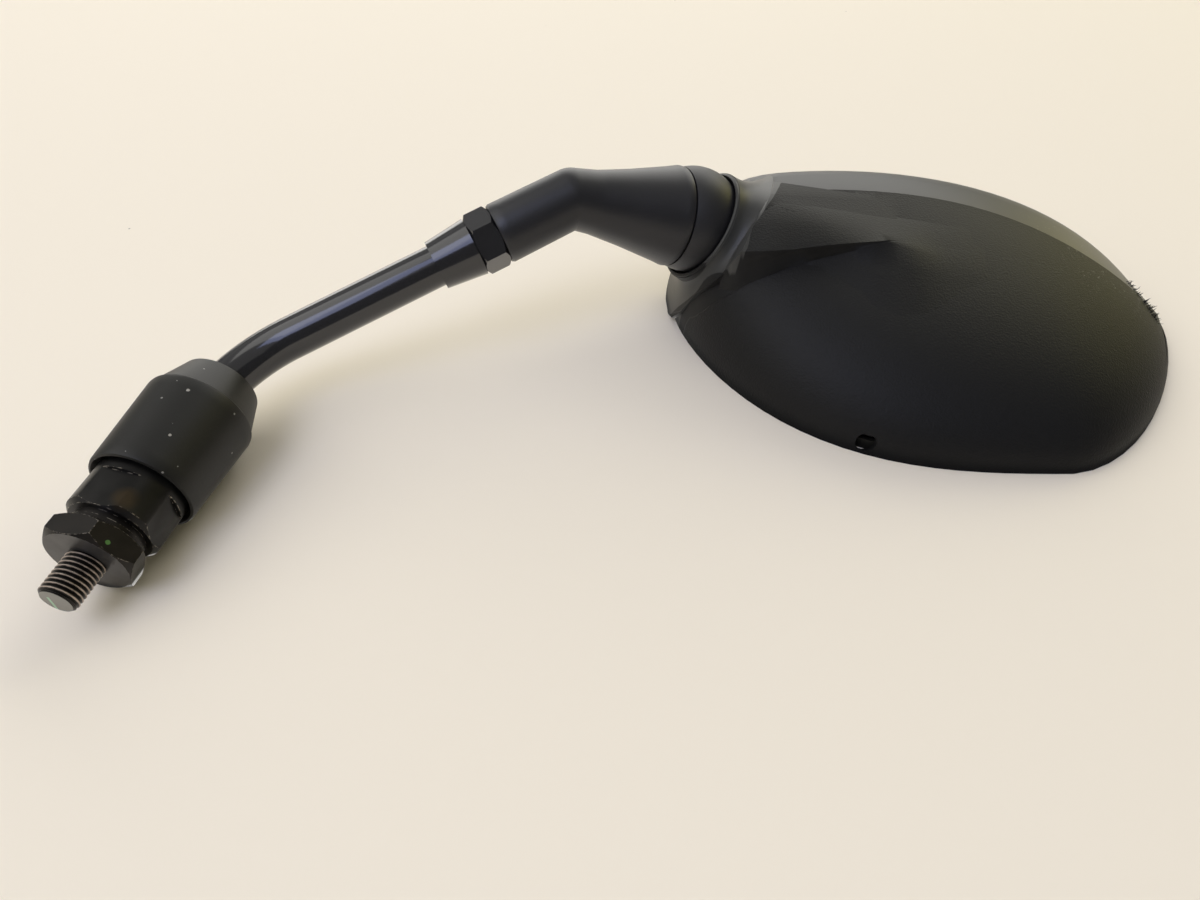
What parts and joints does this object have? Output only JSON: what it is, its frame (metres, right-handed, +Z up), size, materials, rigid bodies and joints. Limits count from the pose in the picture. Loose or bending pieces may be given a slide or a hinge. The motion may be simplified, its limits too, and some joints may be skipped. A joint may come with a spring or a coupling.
{
  "type": "motorcycle mirror",
  "caption": "Left-hand motorcycle mirror: threaded stud and jam nut, adapter, rubber boot, bent stem, elbow, ball joint and moulded head with glass.",
  "frame": {"origin": "centre of the jam nut's bearing face, on the stud's axis", "axes": "+Z up the stem away from the stud's free end, +X outward to the head, +Y towards the rider, where the glass looks"},
  "size_m": [0.2845, 0.129, 0.2276],
  "materials": {
    "black_oxide_steel": "black oxide, semi-gloss, worn to bare steel on edges and thread crests",
    "plated_steel": "zinc plated",
    "spring_steel": "oiled spring steel",
    "boot_rubber": "satin black rubber, dusty",
    "gloss_black_paint": "gloss black paint",
    "satin_black_paint": "satin black powder coat",
    "ball_plastic": "fine matt black",
    "liner_plastic": "plain moulded black",
    "housing_plastic": "black grained plastic with a smooth band",
    "pad_foam": "black foam adhesive",
    "mirror_glass": "silvered glass",
    "bezel_rubber": "satin black rubber"
  },
  "bodies": {
    "adapter": {"threaded_adapter": "black_oxide_steel", "plain_washer": "black_oxide_steel", "spring_washer": "black_oxide_steel"},
    "jam_nut": {"jam_nut": "black_oxide_steel"},
    "stem": {"lower_spigot": "plated_steel", "rubber_boot": "boot_rubber", "stem_tube": "gloss_black_paint", "collar": "gloss_black_paint", "upper_spigot": "plated_steel"},
    "stem_nut": {"stem_lock_nut": "plated_steel"},
    "upper_nut": {"lock_nut": "gloss_black_paint"},
    "elbow": {"elbow": "satin_black_paint", "pivot_ball": "ball_plastic", "pivot_stud": "plated_steel", "pivot_spring": "spring_steel", "thrust_washer": "plated_steel", "pivot_nut": "plated_steel"},
    "cup": {"pressure_cup": "plated_steel"},
    "liner": {"ball_liner": "liner_plastic"},
    "head": {"housing": "housing_plastic", "backing_plate": "liner_plastic", "backing_screws": "plated_steel", "adhesive_pad": "pad_foam", "mirror_glass": "mirror_glass", "glass_bezel": "bezel_rubber"}
  },
  "joints": [
    {"name": "jam_nut_spin", "type": "hinge", "parent": "adapter", "child": "jam_nut", "pos_m": [0, 0, 0.00325], "axis": [0, 0, 1], "continuous": true},
    {"name": "stem_swivel", "type": "hinge", "parent": "adapter", "child": "stem", "pos_m": [0, 0, 0.035], "axis": [0, 0, 1], "range_deg": [-180, 180]},
    {"name": "stem_nut_spin", "type": "hinge", "parent": "stem", "child": "stem_nut", "pos_m": [0, 0, 0.037], "axis": [0, 0, 1], "continuous": true},
    {"name": "upper_nut_spin", "type": "hinge", "parent": "stem", "child": "upper_nut", "pos_m": [0.06956, 0, 0.12205], "axis": [0.8261, 0, 0.5635], "continuous": true},
    {"name": "elbow_turn", "type": "hinge", "parent": "stem", "child": "elbow", "pos_m": [0.09376, 0, 0.13856], "axis": [0.8261, 0, 0.5635], "continuous": true},
    {"name": "head_turn", "type": "hinge", "parent": "elbow", "child": "cup", "pos_m": [0.12317, 0.0247, 0.157], "axis": [0.6902, 0.5799, 0.4328], "continuous": true},
    {"name": "head_yaw", "type": "hinge", "parent": "cup", "child": "liner", "pos_m": [0.12317, 0.0247, 0.157], "axis": [-0.3054, -0.1279, 0.9436], "range_deg": [-29, 2.5]},
    {"name": "head_pitch", "type": "hinge", "parent": "liner", "child": "head", "pos_m": [0.12317, 0.0247, 0.157], "axis": [-0.7794, 0.6028, -0.1705], "range_deg": [-15, 3]}
  ]
}
